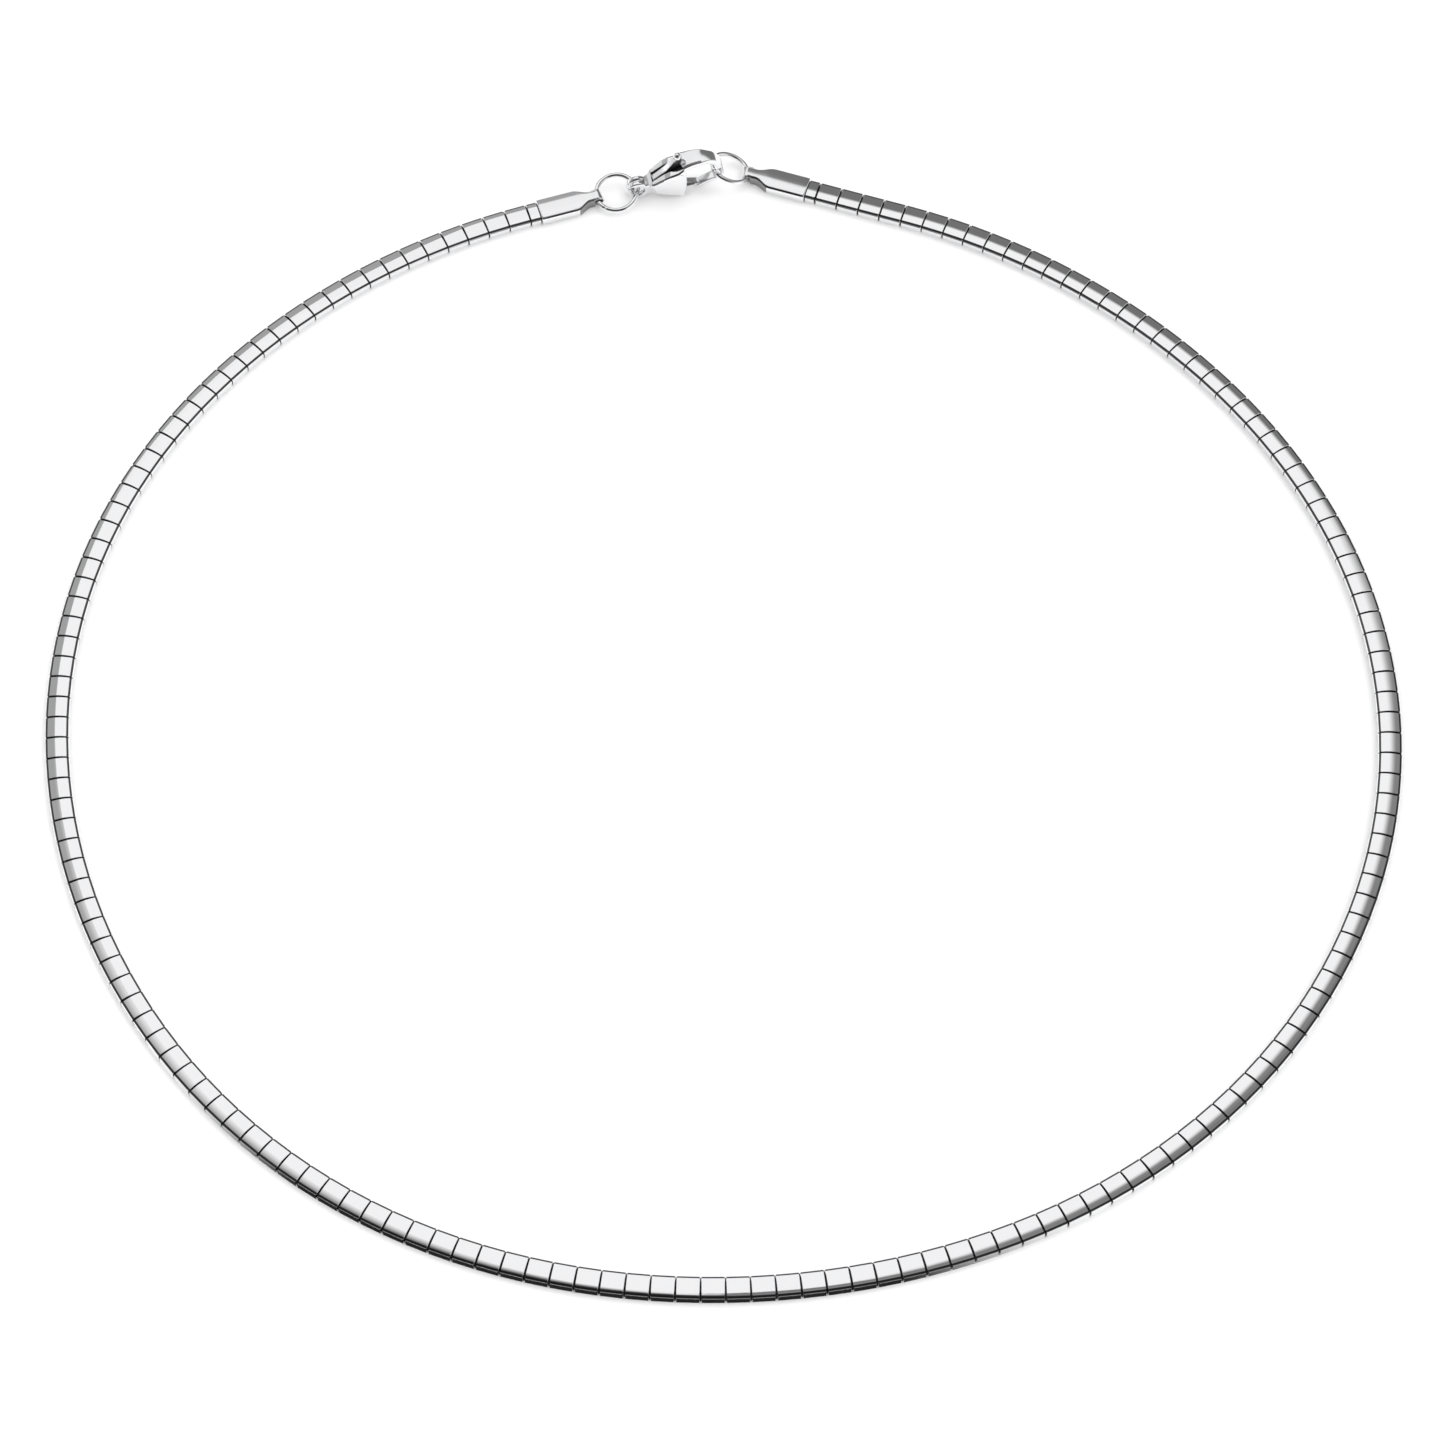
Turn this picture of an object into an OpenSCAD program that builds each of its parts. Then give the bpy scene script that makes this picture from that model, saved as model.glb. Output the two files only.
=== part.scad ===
// Neck ring: a ring of short domed links on a flat core, closed by a lobster clasp.
// Millimetres. The ring lies flat with its underside on z = 0 and its clasp at the back, at +Y.

/* [Ring] */
// Radius of the ring, measured to the middle of the links
ring_radius = 73; // [70:0.5:76]
// How much wider the ring is from left to right than from front to back
ring_stretch = 1.55; // [0:0.05:1.6]

/* [Links] */
// Number of full links
link_count = 160; // [150:1:160]
// Distance from one link to the next along the ring
link_pitch = 2.652; // [2.62:0.001:2.653]
// Gap between two links
link_gap = 0.16; // [0.15:0.01:0.2]
// Width of a link across the band
link_width = 2.7; // [2.5:0.05:2.8]
// Height of a link at its crown
link_height = 1.25; // [1.2:0.05:1.4]
// Radius of the shallow crown
crown_radius = 4; // [3.5:0.1:6]
// Radius of the rounded shoulders
shoulder_radius = 0.3; // [0.2:0.05:0.35]
// Width of the open slot under a link
link_slot = 1.2; // [1:0.05:1.4]
// Length of the short link at each end
short_link = 1.35; // [1.2:0.05:1.5]

/* [Core] */
// Width of the core strip
core_width = 1.7; // [1.5:0.05:1.7]
// Thickness of the core strip
core_height = 0.5; // [0.4:0.05:0.5]
// Height of the core strip's underside above the table
core_base = 0.3; // [0.28:0.01:0.32]
// How far the core reaches into each end cap
core_grip = 3; // [2:0.5:3.5]

/* [End caps] */
// Width of an end cap at its mouth
cap_width = 3.05; // [2.9:0.05:3.2]
// Height of an end cap
cap_height = 1.44; // [1.4:0.01:1.48]
// Length of the full, unpinched part of a cap
cap_full = 4.4; // [4:0.1:4.6]
// Length over which a cap's sides pinch in
cap_pinch = 1.9; // [1.6:0.1:2.1]
// Width of the pinched end
tab_width = 1.65; // [1.5:0.05:1.7]
// Radius of the rounded end round the wire
tab_radius = 0.71; // [0.7:0.01:0.74]
// Radius of the hole for the wire
tab_bore = 0.5; // [0.48:0.01:0.52]

/* [Jump rings] */
// Radius of the left jump ring, to the middle of its wire
left_ring_radius = 2.4; // [2.38:0.01:2.42]
// Thickness of the left ring's wire
left_wire = 0.65; // [0.6:0.01:0.66]
// Radius of the right jump ring, to the middle of its wire
right_ring_radius = 2.32; // [2.3:0.01:2.34]
// Thickness of the right ring's wire
right_wire = 0.62; // [0.56:0.01:0.63]
// Width of the slit where a ring's ends meet
ring_slit = 0.08; // [0.05:0.01:0.1]

/* [Clasp] */
// Outer radius of the clasp's eye
eye_radius = 1.36; // [1.3:0.01:1.4]
// Radius of the hole in the eye
eye_hole = 0.78; // [0.77:0.01:0.8]
// Thickness of the eye
eye_width = 1.4; // [1.3:0.05:1.4]
// Width of the slot between the two cheeks
slot_width = 1.36; // [1.2:0.02:1.4]
// Thickness of the lever
lever_width = 0.8; // [0.7:0.02:0.84]
// Radius of the pivot pin
pin_radius = 0.4; // [0.38:0.01:0.41]
// Free space round the pin in the body
pin_play = 0.03; // [0.02:0.01:0.04]
// Free space round the pin in the lever
lever_play = 0.05; // [0.04:0.01:0.06]

/* [Hidden] */
$fn = 48;

// Where the middle of the whole outline lies from the middle of the ring
outline_x = 0.243;
outline_y = 2.432;

// How far the ring is out of round: waves round the ring, mm along the cosine, mm along the sine
bends = [[2, ring_stretch, -0.24], [3, 0.24, -0.29], [4, 0.03, -0.14], [5, 0, 0.14]];

// Distance round the ring, clockwise from +Y, to the first joint of the links
first_joint = 11.37;
// The band runs straight from here to the cap on the right
straight_until = 22.1;
last_joint = first_joint + link_count * link_pitch;
right_mouth = first_joint - short_link;
left_mouth = last_joint + short_link;

// Radius and place of the curved band at an angle
function radius_at(a) = ring_radius + wave(a, 0);
function wave(a, i) = i == len(bends) ? 0
    : bends[i][1] * cos(bends[i][0] * a) + bends[i][2] * sin(bends[i][0] * a) + wave(a, i + 1);
function curve(a) = radius_at(a) * [cos(a), sin(a)];

// The angle for each distance round the ring, one row a degree
turn_step = 1;
turn_end = -268;
turn_table = [
    for (a = 90, s = 0; a >= turn_end; s = s + norm(curve(a - turn_step) - curve(a)), a = a - turn_step)
        [s, a]
];
function angle_at(s) = lookup(s, turn_table);

// Place on the band at a distance, and the direction in which it runs clockwise there
probe = 0.5;
function bearing(v) = atan2(v[1], v[0]);
function curve_bearing(s) = bearing(curve(angle_at(s + probe)) - curve(angle_at(s - probe)));
function unit(a) = [cos(a), sin(a)];
function band_point(s) = s < straight_until
    ? curve(angle_at(straight_until)) + (s - straight_until) * unit(curve_bearing(straight_until))
    : curve(angle_at(s));
function band_bearing(s) = curve_bearing(max(s, straight_until));

// Direction of each cap, its reach from mouth to wire, and how far its end is bent towards its ring
left_cap_turn = 17.5;
left_cap_reach = 7.2;
left_tab_bend = 3;
right_cap_turn = 162.1;
right_cap_reach = 7.45;
right_tab_bend = 12;
tab_centre = 0.75;

// The middle of each jump ring, how it is tipped, and where its ends meet
left_ring_at = [-12.47, 71.48, 0.97];
left_ring_tip = [7.2, -2.8, 0];
left_slit_at = 239;
right_ring_at = [1.03, 74.68, 1.5];
right_ring_tip = [-10.3, 21.5, 0];
right_slit_at = 209;

// The clasp stands on edge: the middle of its eye, its direction, and how far its hook end is tipped up
eye_at = [-9.93, 72.04, 1.36];
clasp_turn = 10;
clasp_tilt = 16;
pivot = [5.5, 1.2];

metal = "silver";
weave = "gray";

// Half a link or cap section above the table, with a shallow crown and rounded shoulders
module domed(width, height, shoulder, crown) {
    crown_centre = height - crown;
    side = width / 2 - shoulder;
    rise = sqrt(pow(crown - shoulder, 2) - side * side);
    shoulder_z = crown_centre + rise;
    reach = crown / (crown - shoulder);
    translate([-width / 2, 0]) square([width, shoulder_z]);
    for (s = [-1, 1]) translate([s * side, shoulder_z]) circle(r = shoulder);
    intersection() {
        translate([0, crown_centre]) circle(r = crown, $fn = 160);
        translate([-width / 2, 0]) square([width, height]);
        polygon([
            [-side, 0], [side, 0], [side, shoulder_z], [side * reach, crown_centre + rise * reach],
            [0, height + 1], [-side * reach, crown_centre + rise * reach], [-side, shoulder_z]
        ]);
    }
}

// Turns a section drawn in width and height so that it runs along x
module along(length) {
    rotate([90, 0, 90]) linear_extrude(length) children();
}

// One link: a domed plate folded under at both sides, with some room round the core
link_wall = 0.2;
core_room = 0.12;
module link_section() {
    difference() {
        domed(link_width, link_height, shoulder_radius, crown_radius);
        translate([-core_width / 2 - core_room, link_wall])
            square([core_width + 2 * core_room, core_base + core_height + core_room - link_wall]);
        translate([-link_slot / 2, -1]) square([link_slot, 1 + 2 * link_wall]);
    }
}

module link(from, to) {
    middle = (from + to) / 2;
    length = to - from - link_gap;
    translate(band_point(middle)) rotate(band_bearing(middle))
        translate([-length / 2, 0, 0]) along(length) link_section();
}

module links() {
    color(metal) {
        for (i = [0:link_count - 1])
            link(first_joint + i * link_pitch, first_joint + (i + 1) * link_pitch);
        link(right_mouth, first_joint);
        link(last_joint, left_mouth);
    }
}

// The core: four corners swept along the band and into both caps
core_steps = 84;
module core_strip() {
    start = right_mouth - core_grip;
    step = (left_mouth + core_grip - start) / core_steps;
    corners = [
        for (i = [0:core_steps], side = [-1, 1], z = [core_base, core_base + core_height])
            let (s = start + i * step, at = core_point(s), across = core_across(s))
            [at[0] + side * across[0] * core_width / 2, at[1] + side * across[1] * core_width / 2, z]
    ];
    last = 4 * core_steps;
    color(weave) polyhedron(corners, concat(
        [[0, 1, 3, 2], [last, last + 2, last + 3, last + 1]],
        [for (i = [0:core_steps - 1]) let (k = 4 * i) each [
            [k, k + 4, k + 5, k + 1], [k + 1, k + 5, k + 7, k + 3],
            [k + 3, k + 7, k + 6, k + 2], [k + 2, k + 6, k + 4, k]
        ]]
    ));
}

// Inside the left cap the core runs straight, as the cap does
function core_point(s) = s > left_mouth
    ? band_point(left_mouth) + (s - left_mouth) * unit(left_cap_turn)
    : band_point(s);
function core_across(s) = unit((s > left_mouth ? left_cap_turn : band_bearing(s)) + 90);

// An end cap from its mouth at x = 0 to the rounded end that holds the wire
pinch_steps = 8;
// The rounded end stands out this much at its sides
tab_step = 0.05;
module cap_plan(reach, bend) {
    half = cap_width / 2;
    tab = tab_width / 2 - tab_step;
    sides = [
        for (i = [0:pinch_steps])
            let (t = i / pinch_steps)
            [cap_full + cap_pinch * t, tab + (half - tab) * (1 + cos(180 * t)) / 2]
    ];
    polygon(concat(
        [[0, -half]], [for (p = sides) [p[0], -p[1]]],
        [[reach + tab * sin(bend), -tab * cos(bend)], [reach - tab * sin(bend), tab * cos(bend)]],
        [for (i = [pinch_steps:-1:0]) sides[i]], [[0, half]]
    ));
}

// The hole for the wire, with its two mouths opened a little
bore_flare = 0.18;
flare_depth = 0.2;
module wire_hole() {
    inner = tab_width / 2 - flare_depth;
    outer = tab_width / 2 + 0.1;
    rotate_extrude() polygon([
        [0, -outer], [tab_bore + bore_flare, -outer], [tab_bore, -inner],
        [tab_bore, inner], [tab_bore + bore_flare, outer], [0, outer]
    ]);
}

cap_shoulder = 0.35;
cap_crown = 4.6;
pocket_room = 0.1;
module end_cap(reach, bend) {
    color(metal) difference() {
        union() {
            intersection() {
                along(reach + 1) domed(cap_width, cap_height, cap_shoulder, cap_crown);
                linear_extrude(cap_height + 1) cap_plan(reach, bend);
            }
            translate([reach, 0, tab_centre]) rotate([90, 0, bend])
                cylinder(r = tab_radius, h = tab_width, center = true);
        }
        translate([-1, -core_width / 2 - pocket_room, core_base - pocket_room])
            cube([core_grip + 1.3, core_width + 2 * pocket_room, core_height + 2 * pocket_room]);
        translate([reach, 0, tab_centre]) rotate([90, 0, bend]) wire_hole();
    }
}

module left_end_cap() {
    translate(band_point(left_mouth)) rotate(left_cap_turn) end_cap(left_cap_reach, left_tab_bend);
}

module right_end_cap() {
    translate(band_point(right_mouth)) rotate(right_cap_turn) end_cap(right_cap_reach, right_tab_bend);
}

// A round wire ring with a fine slit where its ends meet
module jump_ring(radius, wire, slit_at) {
    color(metal) difference() {
        rotate_extrude() translate([radius, 0]) circle(r = wire / 2);
        rotate(slit_at) translate([0, -ring_slit / 2, -wire]) cube([radius + wire, ring_slit, 2 * wire]);
    }
}

module left_jump_ring() {
    translate(left_ring_at) rotate(left_ring_tip) jump_ring(left_ring_radius, left_wire, left_slit_at);
}

module right_jump_ring() {
    translate(right_ring_at) rotate(right_ring_tip) jump_ring(right_ring_radius, right_wire, right_slit_at);
}

// Clasp pieces are drawn from the side, x towards the hook and y towards the spine, and stand on edge
module place_clasp() {
    translate(eye_at) rotate([0, 0, clasp_turn]) rotate([0, -clasp_tilt, 0]) rotate([90, 0, 0]) children();
}

// Side view of the body, columns: along, up. The hook's outside runs round to its tip and back inside.
cheek_side = [
    [1.5, 0.85], [2.2, 1.05], [3, 1.42], [3.7, 1.7], [4.5, 1.88], [5.4, 1.9], [6.35, 2], [6.35, 1.5],
    [6.1, 0.3], [5.7, -0.9], [5.25, -1.75], [4.9, -2.32], [4.6, -2.25], [3.4, -1.7], [2, -0.95], [1.5, -0.8]
];
hook_outside = [
    [6.2, 2.44], [7.36, 2.46], [8.46, 2.24], [9.24, 1.91], [9.88, 1.4], [10.27, 0.7], [10.42, -0.1],
    [10.42, -0.95], [10.3, -1.7], [9.95, -2.28], [9.3, -2.6], [8.4, -2.72], [7.6, -2.9], [6.7, -3.18]
];
hook_inside = [
    [6.62, -2.56], [7.65, -2.27], [8.5, -2.1], [9.2, -2.1], [9.68, -2.12], [9.94, -1.68], [9.84, -1],
    [9.74, -0.3], [9.52, 0.4], [9.05, 1], [8.3, 1.4], [7.3, 1.6], [6.2, 1.6]
];
// Half thickness of the body along its length, and of the hook from its spine down to its tip
body_widths = [
    [1.5, 0.95], [1.9, 1.25], [2.6, 1.4], [3.6, 1.55], [4.6, 1.6], [5.5, 1.55], [6.4, 1.2], [8.5, 1],
    [9.4, 0.76], [10.6, 0.6]
];
hook_widths = [[2.6, 1.4], [1.5, 1.15], [-0.6, 0.62], [-1.4, 0.565], [-3.4, 0.565]];

module mirrored(widths) {
    polygon(concat(widths, [for (i = [len(widths) - 1:-1:0]) [widths[i][0], -widths[i][1]]]));
}

module seen_from_above() {
    translate([0, 5, 0]) rotate([90, 0, 0]) linear_extrude(10) mirrored(body_widths);
}

module seen_from_the_hook() {
    rotate([0, 90, 0]) rotate(90) linear_extrude(12) mirrored(hook_widths);
}

// The eye is a spool: a hollow runs round it between two flanges. A collar joins it to the neck.
eye_groove = 0.18;
groove_radius = 0.3;
neck = [1.1, 0.78, 0.9];
collar = [1.45, 0.98, 0.5];
// Longer than the clasp is thick, for holes and outlines
through = 4;
module clasp_form() {
    difference() {
        cylinder(r = eye_radius, h = eye_width, center = true);
        cylinder(r = eye_hole, h = through, center = true);
        rotate_extrude() translate([eye_radius - eye_groove + groove_radius, 0]) circle(r = groove_radius);
    }
    for (part = [neck, collar])
        translate([part[0], 0, 0]) rotate([0, 90, 0]) cylinder(r = part[1], h = part[2]);
    intersection() {
        linear_extrude(through, center = true) polygon(cheek_side);
        seen_from_above();
    }
    intersection() {
        linear_extrude(through, center = true) polygon(concat(hook_outside, hook_inside));
        seen_from_above();
        seen_from_the_hook();
    }
}

// The slot runs from the neck to the hook, and under the hook it opens right through
slot_from = 2;
slot_to = 6.3;
mouth_to = 6.6;
mouth_top = 1.55;
module clasp_body() {
    color(metal) place_clasp() difference() {
        clasp_form();
        translate([slot_from, -through, -slot_width / 2])
            cube([slot_to - slot_from, 2 * through, slot_width]);
        translate([slot_from, -through, -slot_width / 2])
            cube([mouth_to - slot_from, through + mouth_top, slot_width]);
        cylinder(r = eye_hole, h = through, center = true);
        translate(pivot) cylinder(r = pin_radius + pin_play, h = through, center = true);
    }
}

pin_length = 3.06;
module clasp_pin() {
    color(metal) place_clasp() translate(pivot) cylinder(r = pin_radius, h = pin_length, center = true);
}

// Side view of the lever, columns: along, up. Tail and nub above, gate and tongue below.
lever_side = [
    [2.2, 0.95], [3, 1.36], [4.06, 1.95], [5.2, 2.9], [5.83, 3.15], [6.4, 3.15], [6.05, 2.4], [6.2, 1.2], [6, 0.3],
    [5.85, -0.6], [5.72, -1.3], [5.75, -1.62], [6.63, -2.09], [6.93, -2.17], [6.93, -2.28], [6.5, -2.34],
    [6.38, -2.47], [5.5, -2.35], [5.05, -1.9], [4.95, -1], [5.05, -0.2], [4.8, 0.5], [4.1, 1], [2.3, 0.5]
];
nub_at = [6, 3.37];
nub_radius = 0.52;
module clasp_lever() {
    color(metal) place_clasp() difference() {
        union() {
            linear_extrude(lever_width, center = true) polygon(lever_side);
            translate(nub_at) sphere(r = nub_radius);
        }
        translate(pivot) cylinder(r = pin_radius + lever_play, h = through, center = true);
    }
}

translate([-outline_x, -outline_y, 0]) {
    links();
    core_strip();
    left_end_cap();
    right_end_cap();
    left_jump_ring();
    right_jump_ring();
    clasp_body();
    clasp_pin();
    clasp_lever();
}
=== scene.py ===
# Neck ring in polished steel: domed plates on a woven core, two end caps, jump rings and a lobster clasp
import math

import bmesh
import bpy
from mathutils import Euler, Matrix, Vector


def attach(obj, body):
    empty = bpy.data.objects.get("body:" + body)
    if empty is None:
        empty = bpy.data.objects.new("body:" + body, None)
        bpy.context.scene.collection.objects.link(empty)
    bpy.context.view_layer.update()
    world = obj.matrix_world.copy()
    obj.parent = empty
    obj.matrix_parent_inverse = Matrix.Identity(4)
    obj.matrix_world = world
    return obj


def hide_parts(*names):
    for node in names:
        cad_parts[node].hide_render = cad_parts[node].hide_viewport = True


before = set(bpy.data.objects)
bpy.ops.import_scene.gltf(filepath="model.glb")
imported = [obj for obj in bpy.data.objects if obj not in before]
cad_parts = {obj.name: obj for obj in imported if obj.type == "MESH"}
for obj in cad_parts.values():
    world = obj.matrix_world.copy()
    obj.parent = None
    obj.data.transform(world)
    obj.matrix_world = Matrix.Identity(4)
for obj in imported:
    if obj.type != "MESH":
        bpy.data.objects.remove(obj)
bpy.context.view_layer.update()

mm = 0.001
scene = bpy.context.scene
outline = {"middleX": 0.243, "middleY": 2.432}   # middle of the whole outline, from the ring's middle, in mm
shift = Vector((-outline["middleX"], -outline["middleY"], 0))


# Small helpers for shapes, all in millimetres until a mesh is made

def toMesh(name, points, faces):
    mesh = bpy.data.meshes.new(name)
    mesh.from_pydata([Vector(p) * mm for p in points], [], faces)
    bm = bmesh.new()
    bm.from_mesh(mesh)
    bmesh.ops.remove_doubles(bm, verts=bm.verts, dist=1e-8)
    bmesh.ops.recalc_face_normals(bm, faces=bm.faces)
    for face in bm.faces:
        face.smooth = True
    bm.to_mesh(mesh)
    bm.free()
    return mesh


def loft(rings, closed=False):
    # rings of equal length become one skin, with flat ends unless it closes on itself
    count = len(rings[0])
    points = [p for ring in rings for p in ring]
    faces = []
    last = len(rings) if closed else len(rings) - 1
    for i in range(last):
        a, b = i * count, ((i + 1) % len(rings)) * count
        for k in range(count):
            n = (k + 1) % count
            faces.append((a + k, a + n, b + n, b + k))
    if not closed:
        faces.append(tuple(range(count)))
        faces.append(tuple(len(points) - 1 - k for k in range(count)))
    return points, faces


def joined(*shells):
    points, faces = [], []
    for shellPoints, shellFaces in shells:
        start = len(points)
        points += shellPoints
        faces += [tuple(start + k for k in face) for face in shellFaces]
    return points, faces


def roundedBox(a0, a1, b0, b1, radii, steps=4):
    # corners run a1b1, a0b1, a0b0, a1b0, each with its own radius, which stays just under half a side
    corners = [(a1, b1, -1, -1), (a0, b1, 1, -1), (a0, b0, 1, 1), (a1, b0, -1, 1)]
    most = 0.499
    points = []
    for i, (a, b, sa, sb) in enumerate(corners):
        r = min(radii[i], abs(a1 - a0) * most, abs(b1 - b0) * most)
        for k in range(steps + 1):
            turn = math.radians(90 * (i + k / steps))
            points.append((a + sa * r + r * math.cos(turn), b + sb * r + r * math.sin(turn)))
    return points


def between(table, x):
    # straight-line reading of a table of (x, value) rows
    if x <= table[0][0]:
        return table[0][1]
    for (x0, y0), (x1, y1) in zip(table, table[1:]):
        if x <= x1:
            return y0 + (y1 - y0) * (x - x0) / (x1 - x0)
    return table[-1][1]


def smoothLine(points, count):
    # evenly spaced points on a smooth line through the given ones
    ends = [points[0]] + list(points) + [points[-1]]
    dense, parts = [], 12
    for i in range(len(points) - 1):
        p0, p1, p2, p3 = (Vector(p) for p in ends[i:i + 4])
        for k in range(parts):
            t = k / parts
            dense.append(0.5 * (2 * p1 + (p2 - p0) * t + (2 * p0 - 5 * p1 + 4 * p2 - p3) * t * t
                                + (3 * p1 - p0 - 3 * p2 + p3) * t ** 3))
    dense.append(Vector(points[-1]))
    lengths = [0]
    for a, b in zip(dense, dense[1:]):
        lengths.append(lengths[-1] + (b - a).length)
    line, j = [], 0
    for i in range(count):
        want = lengths[-1] * i / (count - 1)
        while j < len(dense) - 2 and lengths[j + 1] < want:
            j += 1
        part = (want - lengths[j]) / max(lengths[j + 1] - lengths[j], 1e-9)
        line.append(dense[j].lerp(dense[j + 1], min(max(part, 0), 1)))
    return line


def placed(shell, matrix):
    points, faces = shell
    return [matrix @ Vector(p) for p in points], faces


def paintFaces(piece, finish, isPainted):
    # faces that pass the test take another finish
    piece.data.materials.append(finish)
    index = len(piece.data.materials) - 1
    for face in piece.data.polygons:
        if isPainted(face):
            face.material_index = index


def addPiece(name, shell, material, body, nodes, sharpAngle=35):
    piece = bpy.data.objects.new(name, toMesh(name, *shell))
    scene.collection.objects.link(piece)
    piece.data.set_sharp_from_angle(angle=math.radians(sharpAngle))
    piece.data.materials.append(material)
    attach(piece, body)
    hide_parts(*nodes)
    return piece


def mathNode(nodes, links, operation, *values):
    node = nodes.new("ShaderNodeMath")
    node.operation = operation
    for socket, value in zip(node.inputs, values):
        if isinstance(value, (int, float)):
            socket.default_value = value
        else:
            links.new(value, socket)
    return node.outputs[0]


def easedRamp(nodes, links, value, low, high):
    node = nodes.new("ShaderNodeMapRange")
    node.interpolation_type = "SMOOTHSTEP"
    links.new(value, node.inputs["Value"])
    node.inputs["From Min"].default_value = low
    node.inputs["From Max"].default_value = high
    return node.outputs["Result"]


# Steel finishes

def newGroup(name, inputs, outputs):
    group = bpy.data.node_groups.new(name, "ShaderNodeTree")
    for label, kind, value in inputs:
        socket = group.interface.new_socket(label, in_out="INPUT", socket_type=kind)
        if value is not None:
            socket.default_value = value
    for label, kind in outputs:
        group.interface.new_socket(label, in_out="OUTPUT", socket_type=kind)
    return group, group.nodes.new("NodeGroupInput"), group.nodes.new("NodeGroupOutput")


polish = {"cloudSize": 2500.0, "cloudDetail": 3, "waveSize": 420, "waveDetail": 1, "waveDepth": 0.02}


def buildPolishMarks():
    # faint cloudiness in the polish and a slightly uneven surface
    group, inlet, outlet = newGroup(
        "polishMarks",
        [("Vector", "NodeSocketVector", None), ("Smoothness", "NodeSocketFloat", 0.1),
         ("Cloud Size", "NodeSocketFloat", polish["cloudSize"]), ("Cloud Amount", "NodeSocketFloat", 0.04)],
        [("Roughness", "NodeSocketFloat"), ("Height", "NodeSocketFloat")])
    nodes, links = group.nodes, group.links
    clouds = nodes.new("ShaderNodeTexNoise")
    clouds.inputs["Detail"].default_value = polish["cloudDetail"]
    links.new(inlet.outputs["Vector"], clouds.inputs["Vector"])
    links.new(inlet.outputs["Cloud Size"], clouds.inputs["Scale"])
    amount = mathNode(nodes, links, "MULTIPLY_ADD", clouds.outputs["Fac"], inlet.outputs["Cloud Amount"],
                      inlet.outputs["Smoothness"])
    links.new(amount, outlet.inputs["Roughness"])
    waves = nodes.new("ShaderNodeTexNoise")
    waves.inputs["Detail"].default_value = polish["waveDetail"]
    waves.inputs["Scale"].default_value = polish["waveSize"]
    links.new(inlet.outputs["Vector"], waves.inputs["Vector"])
    links.new(waves.outputs["Fac"], outlet.inputs["Height"])
    return group


polishMarks = buildPolishMarks()


def steel(name, finish):
    material = bpy.data.materials.new(name)
    material.use_nodes = True
    nodes, links = material.node_tree.nodes, material.node_tree.links
    shader = nodes["Principled BSDF"]
    shader.inputs["Metallic"].default_value = 1
    shader.inputs["Base Color"].default_value = (*finish["colour"], 1)
    place = nodes.new("ShaderNodeTexCoord")
    marks = nodes.new("ShaderNodeGroup")
    marks.node_tree = polishMarks
    marks.inputs["Smoothness"].default_value = finish["roughness"]
    marks.inputs["Cloud Amount"].default_value = finish["cloud"]
    links.new(place.outputs["Object"], marks.inputs["Vector"])
    links.new(marks.outputs["Roughness"], shader.inputs["Roughness"])
    bump = nodes.new("ShaderNodeBump")
    bump.inputs["Strength"].default_value = finish["unevenness"]
    bump.inputs["Distance"].default_value = polish["waveDepth"] * mm
    links.new(marks.outputs["Height"], bump.inputs["Height"])
    links.new(bump.outputs["Normal"], shader.inputs["Normal"])
    return material


finishes = {
    "plates": {"colour": (0.90, 0.90, 0.91), "roughness": 0.05, "cloud": 0.03, "unevenness": 0.25},
    "caps": {"colour": (0.88, 0.88, 0.89), "roughness": 0.12, "cloud": 0.04, "unevenness": 0.4},
    "wire": {"colour": (0.9, 0.9, 0.91), "roughness": 0.06, "cloud": 0.04, "unevenness": 0.3},
    "clasp": {"colour": (0.86, 0.86, 0.87), "roughness": 0.12, "cloud": 0.05, "unevenness": 0.5},
    "lever": {"colour": (0.84, 0.84, 0.85), "roughness": 0.14, "cloud": 0.05, "unevenness": 0.5},
    "slotShade": {"colour": (0.1, 0.1, 0.1), "roughness": 0.4, "cloud": 0.1, "unevenness": 0.8},
    "edges": {"colour": (0.1, 0.1, 0.1), "roughness": 0.25, "cloud": 0.1, "unevenness": 0.5},
    "claspShadeLines": {"colour": (0.22, 0.22, 0.22), "roughness": 0.25, "cloud": 0.1, "unevenness": 0.5},
    "pinchShade": {"colour": (0.3, 0.3, 0.3), "roughness": 0.3, "cloud": 0.1, "unevenness": 0.8},
}
plateSteel = steel("plateSteel", finishes["plates"])
capSteel = steel("capSteel", finishes["caps"])
wireSteel = steel("wireSteel", finishes["wire"])
claspSteel = steel("claspSteel", finishes["clasp"])
leverSteel = steel("leverSteel", finishes["lever"])
recessSteel = steel("recessSteel", finishes["slotShade"])      # painted shade inside the clasp's slot and on the lever's blade
edgeSteel = steel("edgeSteel", finishes["edges"])           # a painted dark line on the shoulders, standing in for the shade they reflect
seamSteel = steel("seamSteel", finishes["claspShadeLines"])           # the same painted dark line, fainter, on the clasp's spine edges
foldSteel = steel("foldSteel", finishes["pinchShade"])           # painted shade on the pinched walls of the caps
print("finishes made")


# The path of the band, as distances clockwise from the back. It is a circle with bends in it, and each bend is
# given by its number of waves round the ring and by its cosine and sine parts

ring = {"radius": 73, "stepDegrees": 1, "lastDegree": -268, "straightUntil": 22.1,
        "firstJoint": 11.37, "pitch": 2.652, "count": 160, "shortPlate": 1.35,
        "bends": [(2, 1.55, -0.24), (3, 0.24, -0.29), (4, 0.03, -0.14), (5, 0, 0.14)]}


def bandCurve(degrees):
    bends = (c * math.cos(math.radians(n * degrees)) + s * math.sin(math.radians(n * degrees))
             for n, c, s in ring["bends"])
    radius, turn = ring["radius"] + sum(bends), math.radians(degrees)
    return Vector((radius * math.cos(turn), radius * math.sin(turn), 0))


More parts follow.
